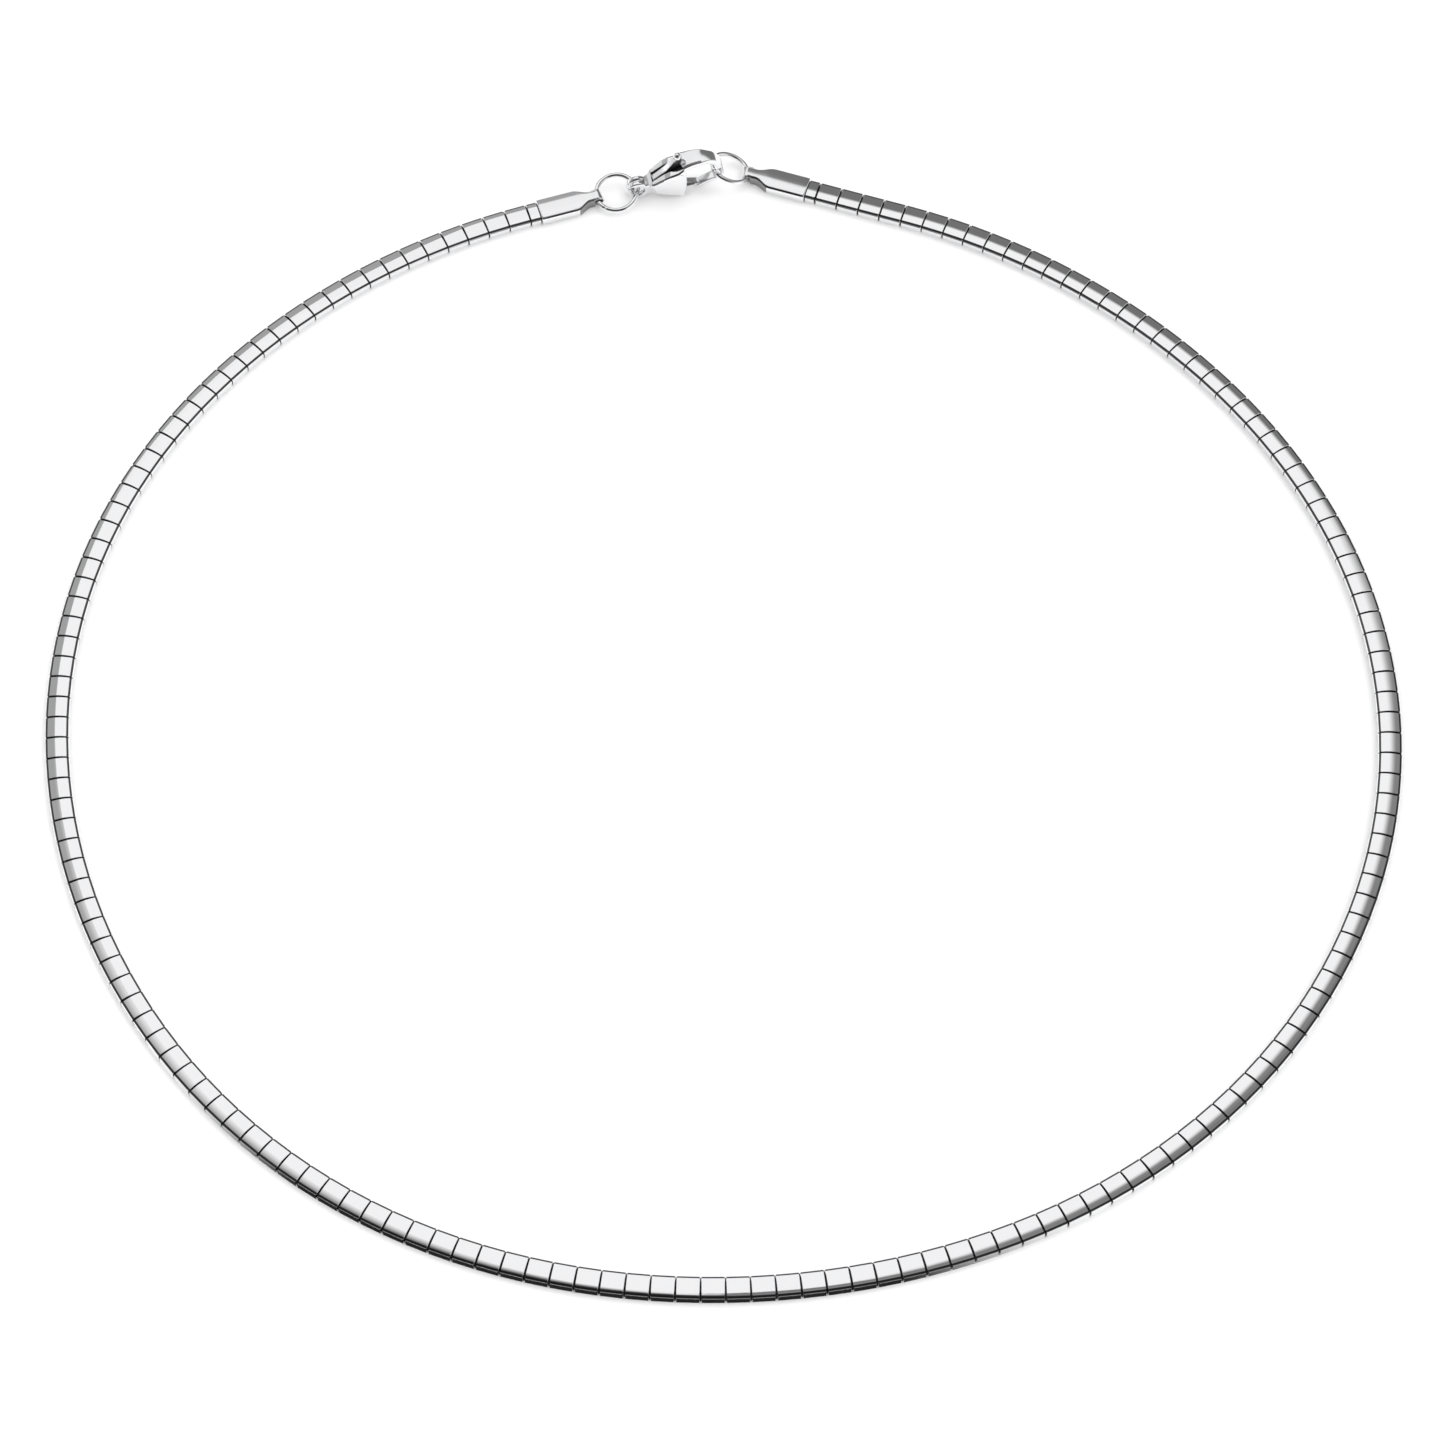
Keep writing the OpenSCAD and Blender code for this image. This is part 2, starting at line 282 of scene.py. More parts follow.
bandTable = [(0.0, 90.0)]
while bandTable[-1][1] > ring["lastDegree"]:
    far, degrees = bandTable[-1]
    step = ring["stepDegrees"]
    bandTable.append((far + (bandCurve(degrees - step) - bandCurve(degrees)).length, degrees - step))


def curvePoint(s):
    return bandCurve(between(bandTable, s))


def curveBearing(s, reach=0.5):
    way = curvePoint(s + reach) - curvePoint(s - reach)
    return math.atan2(way.y, way.x)


def bandPoint(s):
    # the band starts straight, beside the right cap
    straight = ring["straightUntil"]
    if s >= straight:
        return curvePoint(s)
    bearing = curveBearing(straight)
    return curvePoint(straight) + (s - straight) * Vector((math.cos(bearing), math.sin(bearing), 0))


lastJoint = ring["firstJoint"] + ring["count"] * ring["pitch"]
rightMouth = ring["firstJoint"] - ring["shortPlate"]
leftMouth = lastJoint + ring["shortPlate"]


# One plate: a shallow crown, rounded shoulders, folded under at both sides, its two ends eased

plate = {"width": 2.7, "height": 1.25, "crown": 4, "shoulder": 0.3, "shoulderStop": 28, "foot": 0.1,
         "gap": 0.2, "channelHalf": 0.97, "channelTop": 0.92, "wall": 0.2, "slotHalf": 0.6, "easedEnd": 0.03,
         "sharpAngle": 24, "edgeStrip": 0.1, "edgeLowest": 0.6, "swayDegrees": 0.2, "swaySeed": 7}


def plateOutline():
    wide, crown, shoulder = plate["width"] / 2, plate["crown"], plate["shoulder"]
    crownCentre = plate["height"] - crown
    side = wide - shoulder
    shoulderZ = crownCentre + math.sqrt((crown - shoulder) ** 2 - side ** 2)
    meet = math.atan2(shoulderZ - crownCentre, side)
    half = [(plate["channelHalf"], plate["channelTop"]), (plate["channelHalf"], plate["wall"]),
            (plate["slotHalf"], plate["wall"]), (plate["slotHalf"], 0),
            (wide - plate["foot"], 0), (wide, plate["foot"])]
    # the shoulder turns down and stops at a crisp corner above the wall
    low = math.radians(plate["shoulderStop"])
    edgeY, edgeZ = side + shoulder * math.cos(low), shoulderZ + shoulder * math.sin(low)
    half.append((wide, edgeZ - (wide - edgeY) / math.tan(low)))
    for k in range(4):
        turn = low + (meet - low) * k / 3
        half.append((side + shoulder * math.cos(turn), shoulderZ + shoulder * math.sin(turn)))
    strip = meet + plate["edgeStrip"] / crown
    for turn in (strip, (strip + math.pi / 2) / 2):
        half.append((crown * math.cos(turn), crownCentre + crown * math.sin(turn)))
    return half + [(0, plate["height"])] + [(-y, z) for y, z in reversed(half)]


def drawnIn(outlinePoints, distance):
    # the outline moved inwards by a distance, for an eased edge; points run anticlockwise
    count, least = len(outlinePoints), 0.4      # the least keeps a very sharp corner from moving too far
    moved = []
    for i, here in enumerate(outlinePoints):
        here = Vector(here)
        back = (here - Vector(outlinePoints[i - 1])).normalized()
        on = (Vector(outlinePoints[(i + 1) % count]) - here).normalized()
        inwards = Vector((-back.y - on.y, back.x + on.x))
        moved.append(here + inwards / max(inwards.length_squared, least) * 2 * distance)
    return [tuple(p) for p in moved]


def easedRun(full, half, ease):
    # an outline at its places from one end to the other, drawn in at both ends
    eased = drawnIn(full, ease)
    return ((-half, eased), (-half + ease, full), (half - ease, full), (half, eased))


def makePlateMesh():
    half = (ring["pitch"] - plate["gap"]) / 2
    rings = [[(x, y, z) for y, z in points] for x, points in easedRun(plateOutline(), half, plate["easedEnd"])]
    mesh = toMesh("plateShape", *loft(rings))
    mesh.set_sharp_from_angle(angle=math.radians(plate["sharpAngle"]))
    # its upper shoulders and a strip beside them are marked for a painted dark line, standing in for the shade
    # they reflect
    inside = (plate["width"] / 2 - plate["shoulder"] - plate["edgeStrip"] / 2) * mm
    edgeLine = mesh.attributes.new("edgeLine", "BOOLEAN", "FACE")
    for face, mark in zip(mesh.polygons, edgeLine.data):
        mark.value = abs(face.center.y) > inside and face.normal.z > plate["edgeLowest"]
    return mesh


def buildPlateRow():
    # sets one plate after another along the band
    tree = bpy.data.node_groups.new("plateRow", "GeometryNodeTree")
    face = tree.interface
    face.new_socket("Geometry", in_out="INPUT", socket_type="NodeSocketGeometry")
    for label, kind in (("Plate", "Object"), ("Count", "Int"), ("Pitch", "Float"), ("First Joint", "Float"),
                        ("Short Plate", "Float"), ("Gap", "Float"), ("Sway", "Float"), ("Seed", "Int"),
                        ("Finish", "Material")):
        face.new_socket(label, in_out="INPUT", socket_type="NodeSocket" + kind)
    face.new_socket("Geometry", in_out="OUTPUT", socket_type="NodeSocketGeometry")
    nodes, links = tree.nodes, tree.links
    inlet, outlet = nodes.new("NodeGroupInput"), nodes.new("NodeGroupOutput")

    def calc(operation, *values):
        return mathNode(nodes, links, operation, *values)

    index = nodes.new("GeometryNodeInputIndex").outputs[0]
    total = calc("ADD", inlet.outputs["Count"], 2)
    points = nodes.new("GeometryNodePoints")
    links.new(total, points.inputs["Count"])
    # the first and the last plate are short ones
    isFirst = calc("LESS_THAN", index, 0.5)
    isLast = calc("GREATER_THAN", index, calc("ADD", inlet.outputs["Count"], 0.5))
    isShort = calc("ADD", isFirst, isLast)
    onward = calc("MULTIPLY", calc("SUBTRACT", index, 0.5), inlet.outputs["Pitch"])
    even = calc("ADD", inlet.outputs["First Joint"], onward)
    nudge = calc("MULTIPLY", calc("SUBTRACT", inlet.outputs["Pitch"], inlet.outputs["Short Plate"]), 0.5)
    distance = calc("ADD", even, calc("MULTIPLY", nudge, calc("SUBTRACT", isFirst, isLast)))
    sample = nodes.new("GeometryNodeSampleCurve")
    sample.mode = "LENGTH"
    sample.use_all_curves = False
    links.new(inlet.outputs["Geometry"], sample.inputs["Curves"])
    links.new(distance, sample.inputs["Length"])
    move = nodes.new("GeometryNodeSetPosition")
    links.new(points.outputs[0], move.inputs["Geometry"])
    links.new(sample.outputs["Position"], move.inputs["Position"])
    turn = nodes.new("FunctionNodeAlignRotationToVector")
    turn.axis = "X"
    turn.pivot_axis = "Z"
    links.new(sample.outputs["Tangent"], turn.inputs["Vector"])
    sway = nodes.new("FunctionNodeRandomValue")
    sway.data_type = "FLOAT_VECTOR"
    span = nodes.new("ShaderNodeCombineXYZ")
    links.new(inlet.outputs["Sway"], span.inputs[0])
    links.new(calc("MULTIPLY", inlet.outputs["Sway"], 0.5), span.inputs[1])
    low = nodes.new("ShaderNodeVectorMath")
    low.operation = "SCALE"
    low.inputs["Scale"].default_value = -1
    links.new(span.outputs[0], low.inputs[0])
    links.new(low.outputs[0], sway.inputs[0])
    links.new(span.outputs[0], sway.inputs[1])
    links.new(inlet.outputs["Seed"], sway.inputs["Seed"])
    rotate = nodes.new("FunctionNodeRotateRotation")
    rotate.rotation_space = "LOCAL"
    links.new(turn.outputs[0], rotate.inputs[0])
    toTurn = nodes.new("FunctionNodeEulerToRotation")
    links.new(sway.outputs[0], toTurn.inputs[0])
    links.new(toTurn.outputs[0], rotate.inputs[1])
    whole = calc("SUBTRACT", inlet.outputs["Pitch"], inlet.outputs["Gap"])
    short = calc("SUBTRACT", inlet.outputs["Short Plate"], inlet.outputs["Gap"])
    shrink = calc("ADD", 1, calc("MULTIPLY", isShort, calc("SUBTRACT", calc("DIVIDE", short, whole), 1)))
    size = nodes.new("ShaderNodeCombineXYZ")
    size.inputs[1].default_value = size.inputs[2].default_value = 1
    links.new(shrink, size.inputs[0])
    source = nodes.new("GeometryNodeObjectInfo")
    links.new(inlet.outputs["Plate"], source.inputs["Object"])
    instances = nodes.new("GeometryNodeInstanceOnPoints")
    links.new(move.outputs[0], instances.inputs["Points"])
    links.new(source.outputs["Geometry"], instances.inputs["Instance"])
    links.new(rotate.outputs[0], instances.inputs["Rotation"])
    links.new(size.outputs[0], instances.inputs["Scale"])
    realize = nodes.new("GeometryNodeRealizeInstances")
    links.new(instances.outputs[0], realize.inputs[0])
    finish = nodes.new("GeometryNodeSetMaterial")
    links.new(realize.outputs[0], finish.inputs["Geometry"])
    links.new(inlet.outputs["Finish"], finish.inputs["Material"])
    links.new(finish.outputs[0], outlet.inputs[0])
    return tree


def makePlates():
    plateShape = bpy.data.objects.new("plateShape", makePlateMesh())
    # the centre line of the band, starting where distance is nought
    line = bpy.data.curves.new("bandLine", "CURVE")
    line.dimensions = "3D"
    apart = 0.5
    stations = [i * apart for i in range(int(leftMouth / apart) + 2)]
    spline = line.splines.new("POLY")
    spline.points.add(len(stations) - 1)
    for point, s in zip(spline.points, stations):
        point.co = (*((bandPoint(s) + shift) * mm), 1)
    holder = bpy.data.objects.new("plateRow", line)
    scene.collection.objects.link(plateShape)
    scene.collection.objects.link(holder)
    tree = buildPlateRow()
    modifier = holder.modifiers.new("plateRow", "NODES")
    modifier.node_group = tree
    values = {"Plate": plateShape, "Count": ring["count"], "Pitch": ring["pitch"] * mm,
              "First Joint": ring["firstJoint"] * mm, "Short Plate": ring["shortPlate"] * mm,
              "Gap": plate["gap"] * mm, "Sway": math.radians(plate["swayDegrees"]),
              "Seed": plate["swaySeed"], "Finish": plateSteel}
    for socket in tree.interface.items_tree:
        if socket.in_out == "INPUT" and socket.name in values:
            modifier[socket.identifier] = values[socket.name]
    bpy.context.view_layer.update()
    shown = holder.evaluated_get(bpy.context.evaluated_depsgraph_get())
    mesh = bpy.data.meshes.new_from_object(shown)
    holder.modifiers.clear()
    bpy.data.objects.remove(holder)
    bpy.data.objects.remove(plateShape)
    plates = bpy.data.objects.new("domedPlates", mesh)
    scene.collection.objects.link(plates)
    # the marked shoulders take the painted dark line
    edgeLine = mesh.attributes["edgeLine"].data
    paintFaces(plates, edgeSteel, lambda face: edgeLine[face.index].value)
    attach(plates, "neck_ring")
    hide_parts("links")
    return plates


plates = makePlates()
print("plates:", len(plates.data.polygons), "faces")


# The woven core shows as slivers in the joints and along the underside

# the core's near-black colour is painted shade that darkens the joints; the shadow colour between the strands
# is painted shade too
weave = {"colour": (0.07, 0.07, 0.07), "shadow": (0.015, 0.015, 0.015), "roughness": 0.45,
         "strandTurns": (45, -45), "strandScale": 650.0, "distortion": 0.4, "depth": 0.06}


def makeCoreFinish():
    material = bpy.data.materials.new("wovenWire")
    material.use_nodes = True
    nodes, links = material.node_tree.nodes, material.node_tree.links
    shader = nodes["Principled BSDF"]
    shader.inputs["Metallic"].default_value = 1
    shader.inputs["Roughness"].default_value = weave["roughness"]
    place = nodes.new("ShaderNodeTexCoord")
    strands = []
    for turn in weave["strandTurns"]:
        mapping = nodes.new("ShaderNodeMapping")
        mapping.inputs["Rotation"].default_value = (0, 0, math.radians(turn))
        links.new(place.outputs["Object"], mapping.inputs["Vector"])
        wave = nodes.new("ShaderNodeTexWave")
        wave.inputs["Scale"].default_value = weave["strandScale"]
        wave.inputs["Distortion"].default_value = weave["distortion"]
        links.new(mapping.outputs[0], wave.inputs["Vector"])
        strands.append(wave.outputs["Fac"])
    over = mathNode(nodes, links, "MAXIMUM", *strands)
    shade = nodes.new("ShaderNodeMix")
    shade.data_type = "RGBA"
    links.new(over, shade.inputs[0])
    shade.inputs[6].default_value = (*weave["shadow"], 1)      # inputs 6 and 7 and output 2 are its colours
    shade.inputs[7].default_value = (*weave["colour"], 1)
    links.new(shade.outputs[2], shader.inputs["Base Color"])
    bump = nodes.new("ShaderNodeBump")
    bump.inputs["Distance"].default_value = weave["depth"] * mm
    links.new(over, bump.inputs["Height"])
    links.new(bump.outputs[0], shader.inputs["Normal"])
    return material


core = {"half": 0.85, "low": 0.3, "high": 0.8, "grip": 2.0, "round": 0.16,
        "jointHalf": 1.24, "jointLow": 0.1, "jointHigh": 0.98, "swellFrom": 0.07, "swellFull": 0.045}


def makeCore():
    # a flat woven strip that swells a little into every joint
    rings, reach = [], 0.2

    def section(s, half, low, high):
        here, way = bandPoint(s) + shift, bandPoint(s + reach) - bandPoint(s - reach)
        across = Vector((-way.y, way.x, 0)).normalized()
        flat = roundedBox(-half, half, low, high, (core["round"],) * 4, 2)
        rings.append([here + across * a + Vector((0, 0, b)) for a, b in flat])

    slim = (core["half"], core["low"], core["high"])
    full = (core["jointHalf"], core["jointLow"], core["jointHigh"])
    far, near = core["swellFrom"], core["swellFull"]
    section(rightMouth - core["grip"], *slim)
    joints = [ring["firstJoint"] + i * ring["pitch"] for i in range(ring["count"] + 1)]
    for s in [rightMouth] + joints + [leftMouth]:
        for offset, form in ((-far, slim), (-near, full), (near, full), (far, slim)):
            section(s + offset, *form)
    section(leftMouth + core["grip"], *slim)
    return addPiece("wovenCore", loft(rings), makeCoreFinish(), "neck_ring", ["core_strip"])


makeCore()
print("core made")


def dress(node, material):
    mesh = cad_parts[node].data
    mesh.materials.clear()
    mesh.materials.append(material)


# End caps: a domed sleeve that pinches in to a tab, and the tab rolled round the wire

cap = {"width": 3.05, "height": 1.44, "crown": 4.6, "shoulder": 0.35, "shoulderEase": 0.05, "foot": 0.14,
       "footRound": 0.3, "wallShare": 0.6, "full": 4.4, "pinch": 1.9, "easedMouth": 0.12, "firstSection": 0.4,
       "sectionStep": 0.25, "tabHalf": 0.78, "tabShoulder": 0.4, "tabDrop": 0.02, "tabStart": 0.5,
       "lipSlope": 0.002, "wireZ": 0.75, "rollHalf": 0.72, "rollInner": 0.5, "rollOuter": 0.67, "rollStart": 95,
       "rollSweep": 215, "rollRound": 0.07}
capEnds = {
    "left": {"at": leftMouth, "turn": 17.5, "reach": 7.2, "bend": 3},
    "right": {"at": rightMouth, "turn": 162.1, "reach": 7.45, "bend": 12},
}
# which faces of a cap take painted shade, by where they are and how far they look upwards
capPaint = {"foldUpwards": 0.5, "foldFrom": 0.3, "foldPast": 0.3, "foldOut": 0.6,
            "edgeUpwards": (0.5, 0.85), "edgeFrom": 0.3}


def domedRing(x, half, height, shoulder):
    # one section of a cap, from the foot on the right up over the crown
    foot, crown = cap["foot"], cap["crown"]
    crownCentre = height - crown
    side = half - shoulder
    shoulderZ = crownCentre + math.sqrt((crown - shoulder) ** 2 - side ** 2)
    meet = math.atan2(shoulderZ - crownCentre, side)
    rounded = foot * cap["footRound"]
    right = [(half - foot, 0), (half - rounded, rounded), (half, foot), (half, shoulderZ * cap["wallShare"])]
    for k in range(6):
        turn = meet * k / 5
        right.append((side + shoulder * math.cos(turn), shoulderZ + shoulder * math.sin(turn)))
    for k in range(1, 4):
        turn = meet + (math.pi / 2 - meet) * k / 4
        right.append((crown * math.cos(turn), crownCentre + crown * math.sin(turn)))
    return [(x, y, z) for y, z in right + [(0, height)] + [(-y, z) for y, z in reversed(right)]]


def capHalf(x):
    t = min(max((x - cap["full"]) / cap["pinch"], 0), 1)
    return cap["tabHalf"] + (cap["width"] / 2 - cap["tabHalf"]) * (1 + math.cos(math.pi * t)) / 2


def makeSleeve(sleeveEnd):
    ease, wide = cap["easedMouth"], cap["width"] / 2
    sleeve = []
    for k in range(4):      # the mouth's rim is rounded
        turn = math.radians(30 * k)
        inset = ease * (1 - math.sin(turn))
        rim = domedRing(ease * (1 - math.cos(turn)), wide - inset, cap["height"] - inset,
                        cap["shoulder"] - cap["shoulderEase"])
        sleeve.append([(x, y, max(z, inset)) for x, y, z in rim])
    x = cap["firstSection"]
    while x < sleeveEnd:
        pinched = (wide - capHalf(x)) / (wide - cap["tabHalf"])
        sleeve.append(domedRing(x, capHalf(x), cap["height"] - cap["tabDrop"] * pinched,
                                cap["shoulder"] + cap["shoulderEase"] * pinched))
        x += cap["sectionStep"]
    sleeve.append(domedRing(sleeveEnd, capHalf(sleeveEnd), cap["height"] - cap["tabDrop"], cap["tabShoulder"]))
    return loft(sleeve)


def makeLip(sleeveEnd, reach):
    # above the wire only the top of the sleeve runs on; each section is a place and how far it is drawn in
    lowest, top = cap["wireZ"] + cap["rollInner"], cap["height"] - cap["tabDrop"]
    lip = []
    for x, inset in ((sleeveEnd - 0.05, 0.01), (sleeveEnd, 0.01), (sleeveEnd + 0.01, 0), (reach - 0.02, 0),
                     (reach + 0.02, 0.03)):
        section = domedRing(x, cap["tabHalf"] - inset, top - inset, cap["tabShoulder"])
        lip.append([(x, y, max(z, lowest + cap["lipSlope"] * abs(y))) for x, y, z in section])
    return loft(lip)


def makeRoll(end, steps=20):
    # the tab rolls down round the wire, along the wire's own direction
    thick = cap["rollOuter"] - cap["rollInner"]
    middle = (cap["rollOuter"] + cap["rollInner"]) / 2
    hub, across = Vector((end["reach"], 0, cap["wireZ"])), Matrix.Rotation(math.radians(end["bend"]), 3, "Z")
    flat = roundedBox(-cap["rollHalf"], cap["rollHalf"], -thick / 2, thick / 2, (cap["rollRound"],) * 4, 3)
    roll = []
    for k in range(steps + 1):
        turn = math.radians(cap["rollStart"] - k * cap["rollSweep"] / steps)
        up = Vector((math.cos(turn), 0, math.sin(turn)))
        roll.append([hub + across @ (up * (middle + b) + Vector((0, a, 0))) for a, b in flat])
    return loft(roll)


def makeCap(side, end):
    sleeveEnd = end["reach"] - cap["tabStart"]
    shell = joined(makeSleeve(sleeveEnd), makeLip(sleeveEnd, end["reach"]), makeRoll(end))
    start = bandPoint(end["at"]) + shift
    place = Matrix.Translation(start) @ Matrix.Rotation(math.radians(end["turn"]), 4, "Z")
    piece = addPiece(side + "EndCap", placed(shell, place), capSteel, "neck_ring", [side + "_end_cap"])

    def onPinch(face):
        here = place.inverted() @ (face.center / mm)
        along = cap["full"] + capPaint["foldFrom"] < here.x < sleeveEnd + capPaint["foldPast"]
        return along and abs(face.normal.z) < capPaint["foldUpwards"] and abs(here.y) > capPaint["foldOut"]

    # faces on the sleeve's upper shoulders take the painted dark line
    def onCapShadeLine(face):
        here = place.inverted() @ (face.center / mm)
        low, high = capPaint["edgeUpwards"]
        return low < face.normal.z < high and capPaint["edgeFrom"] < here.x < sleeveEnd

    # painted shade on the pinched walls, and a painted dark line along the upper shoulders
    paintFaces(piece, foldSteel, onPinch)
    paintFaces(piece, edgeSteel, onCapShadeLine)
    return piece


for side, end in capEnds.items():
    makeCap(side, end)
print("end caps made")


# Jump rings: round wire, cut square where its ends meet

jumpRings = {
    "left": {"centre": (-12.47, 71.48, 0.97), "tip": (7.2, -2.8), "radius": 2.4, "wire": 0.65, "slitAt": 239},
    "right": {"centre": (1.03, 74.68, 1.5), "tip": (-10.3, 21.5), "radius": 2.32, "wire": 0.62, "slitAt": 209},
}
ringWire = {"slitWidth": 0.08, "easedEnd": 0.03, "steps": 96, "sides": 20}


def makeJumpRing(side, form):
    rings, steps, sides = [], ringWire["steps"], ringWire["sides"]
    slit = math.degrees(ringWire["slitWidth"] / form["radius"])
    for i in range(steps + 1):
        turn = math.radians(form["slitAt"] + slit / 2 + (360 - slit) * i / steps)
        out = Vector((math.cos(turn), math.sin(turn), 0))
        eased = form["wire"] / 2 - (ringWire["easedEnd"] if i in (0, steps) else 0)
        rings.append([out * (form["radius"] + eased * math.cos(k * math.tau / sides))
                      + Vector((0, 0, eased * math.sin(k * math.tau / sides))) for k in range(sides)])
    tipX, tipY = (math.radians(t) for t in form["tip"])
    place = Matrix.Translation(Vector(form["centre"]) + shift) @ Euler((tipX, tipY, 0)).to_matrix().to_4x4()
    return addPiece(side + "JumpRing", placed(loft(rings), place), wireSteel, "neck_ring",
                    [side + "_jump_ring"])


for side, form in jumpRings.items():
    makeJumpRing(side, form)
print("jump rings made")


# The clasp, drawn from its side: along towards the hook, up towards the spine, out towards the viewer

clasp = {"eye": (-9.93, 72.04, 1.36), "turn": 10, "tilt": 16, "eyeRadius": 1.36, "eyeHole": 0.78,
         "eyeHalf": 0.7, "holeEase": 0.12, "rimRound": 0.16, "grooveDepth": 0.18, "grooveRadius": 0.3,
         "slotHalf": 0.68, "slotFrom": 2.0, "neckStations": (1.05, 1.3, 1.5, 1.6, 1.7, 1.8, 1.9),
         "neckRound": 0.3, "cheekFrom": 1.93, "cheekTo": 6.35, "cheekRound": 0.3, "cheekLeast": 0.05,
         "innerRound": 0.05,
         "spine": [(1.0, 0.78), (1.5, 0.85), (2.2, 1.05), (3.0, 1.42), (3.7, 1.7), (4.5, 1.88), (5.4, 1.9),
                   (6.35, 2.0)],
         "belly": [(1.0, -0.78), (1.5, -0.82), (2.0, -0.95), (3.4, -1.7), (4.6, -2.25), (4.9, -2.32),
                   (5.25, -1.75), (5.7, -0.9), (6.1, 0.3), (6.35, 1.5)],
         "halfByLength": [(1.0, 0.78), (1.5, 0.95), (1.9, 1.25), (2.6, 1.4), (3.6, 1.55), (4.6, 1.6),
                          (5.5, 1.55), (6.4, 1.2), (8.5, 1.0), (9.4, 0.76), (10.6, 0.6)],
         "halfByHeight": [(-3.4, 0.565), (-1.4, 0.565), (-0.6, 0.62), (1.5, 1.15), (2.6, 1.4)],
         "hookOutside": [(6.2, 2.44), (7.36, 2.46), (8.46, 2.24), (9.24, 1.91), (9.88, 1.4), (10.27, 0.7),
                         (10.42, -0.1), (10.42, -0.95), (10.3, -1.7), (9.95, -2.28), (9.3, -2.6),
                         (8.4, -2.72), (7.6, -2.9), (6.7, -3.18)],
         "hookInside": [(6.2, 1.6), (7.3, 1.6), (8.3, 1.4), (9.05, 1.0), (9.52, 0.4), (9.74, -0.3),
                        (9.84, -1.0), (9.94, -1.68), (9.68, -2.12), (9.2, -2.1), (8.5, -2.1), (7.65, -2.27),
                        (6.62, -2.56)]}
claspPlace = (Matrix.Translation(Vector(clasp["eye"]) + shift)
              @ Matrix.Rotation(math.radians(clasp["turn"]), 4, "Z")
              @ Matrix.Rotation(math.radians(-clasp["tilt"]), 4, "Y")
              @ Matrix.Rotation(math.radians(90), 4, "X"))


def eyeSection():
    # a spool: two rounded flanges with a hollow between them, radius and width
    hole, outer, half = clasp["eyeHole"], clasp["eyeRadius"], clasp["eyeHalf"]
    depth, radius = clasp["grooveDepth"], clasp["grooveRadius"]
    ease, rim = clasp["holeEase"], clasp["rimRound"]
    reach = math.acos((radius - depth) / radius)

    def corner(r, w, size, start):
        turns = [math.radians(start + 30 * k) for k in range(4)]
        return [(r + size * math.cos(turn), w + size * math.sin(turn)) for turn in turns]

    groove = [(outer - depth + radius - radius * math.cos(reach * k / 4), radius * math.sin(reach * k / 4))
              for k in range(-4, 5)]
    return (corner(hole + ease, -half + ease, ease, 180) + corner(outer - rim, -half + rim, rim, 270)
            + groove + corner(outer - rim, half - rim, rim, 0) + corner(hole + ease, half - ease, ease, 90))


def makeEye(steps=56):
    turns = [math.tau * i / steps for i in range(steps)]
    return loft([[(r * math.cos(turn), r * math.sin(turn), w) for r, w in eyeSection()] for turn in turns],
                closed=True)


def makeNeck():
    rings = []
    for p in (*clasp["neckStations"], clasp["slotFrom"]):
        low, top, half = (between(clasp[table], p) for table in ("belly", "spine", "halfByLength"))
        flat = roundedBox(low, top, -half, half, (clasp["neckRound"],) * 4, 5)
        rings.append([(p, q, w) for q, w in flat])
    return loft(rings)


def makeCheek(side, steps=39):
    start, length = clasp["cheekFrom"], clasp["cheekTo"] - clasp["cheekFrom"]
    inner, radii = clasp["slotHalf"], (clasp["cheekRound"],) * 2 + (clasp["innerRound"],) * 2
    rings = []
    for k in range(steps + 1):
        p = start + length * k / steps
        outer = max(between(clasp["halfByLength"], p), inner + clasp["cheekLeast"])
        flat = roundedBox(between(clasp["belly"], p), between(clasp["spine"], p), inner, outer, radii, 5)
        rings.append([(p, q, side * w) for q, w in flat])
    return loft(rings)


# the outer face falls by so much at 1 mm from its axis, which is given as a share of the half width
hookCrown = {"fall": 0.09, "axis": -0.45, "round": 0.1, "innerRound": 0.12}


def crownedBox(tall, half):
    # the hook's section, its outer face slightly domed and highest a little behind the middle
    small, large = hookCrown["round"], hookCrown["innerRound"]
    axis, edge = hookCrown["axis"] * half, half - small

    def high(w):
        return tall - hookCrown["fall"] * (w - axis) ** 2

    def corner(side):
        turns = [math.radians(30 * k) for k in range(4)]
        return [(high(edge * side) - small + small * math.sin(turn), side * (edge + small * math.cos(turn)))
                for turn in turns]

    innerCorners = roundedBox(-tall, tall, -half, half, (small, large, large, small), 3)[4:12]
    face = [(high(edge * k / 4), edge * k / 4) for k in range(-3, 4)]
    return list(reversed(corner(1))) + innerCorners + corner(-1) + face


def makeHook(steps=44):
    outside, inside = smoothLine(clasp["hookOutside"], steps), smoothLine(clasp["hookInside"], steps)
    rings = []
    for o, n in zip(outside, inside):
        middle, up = (o + n) / 2, (o - n).normalized()
        half = min(between(clasp["halfByLength"], o.x), between(clasp["halfByHeight"], (o.y + n.y) / 2))
        section = crownedBox((o - n).length / 2, half)
        rings.append([(middle.x + up.x * a, middle.y + up.y * a, w) for a, w in section])
    # the tip is slightly rounded by two rings that stand on from the last and are drawn in
    along = (outside[-1] + inside[-1] - outside[-2] - inside[-2]).normalized()
    along, middle = Vector((*along, 0)), Vector((*(outside[-1] + inside[-1]) / 2, 0))
    tip = [Vector(p) - middle for p in rings[-1]]
    for reach, share in ((0.05, 0.9), (0.07, 0.75)):
        rings.append([middle + p * share + along * reach for p in tip])
    return loft(rings)


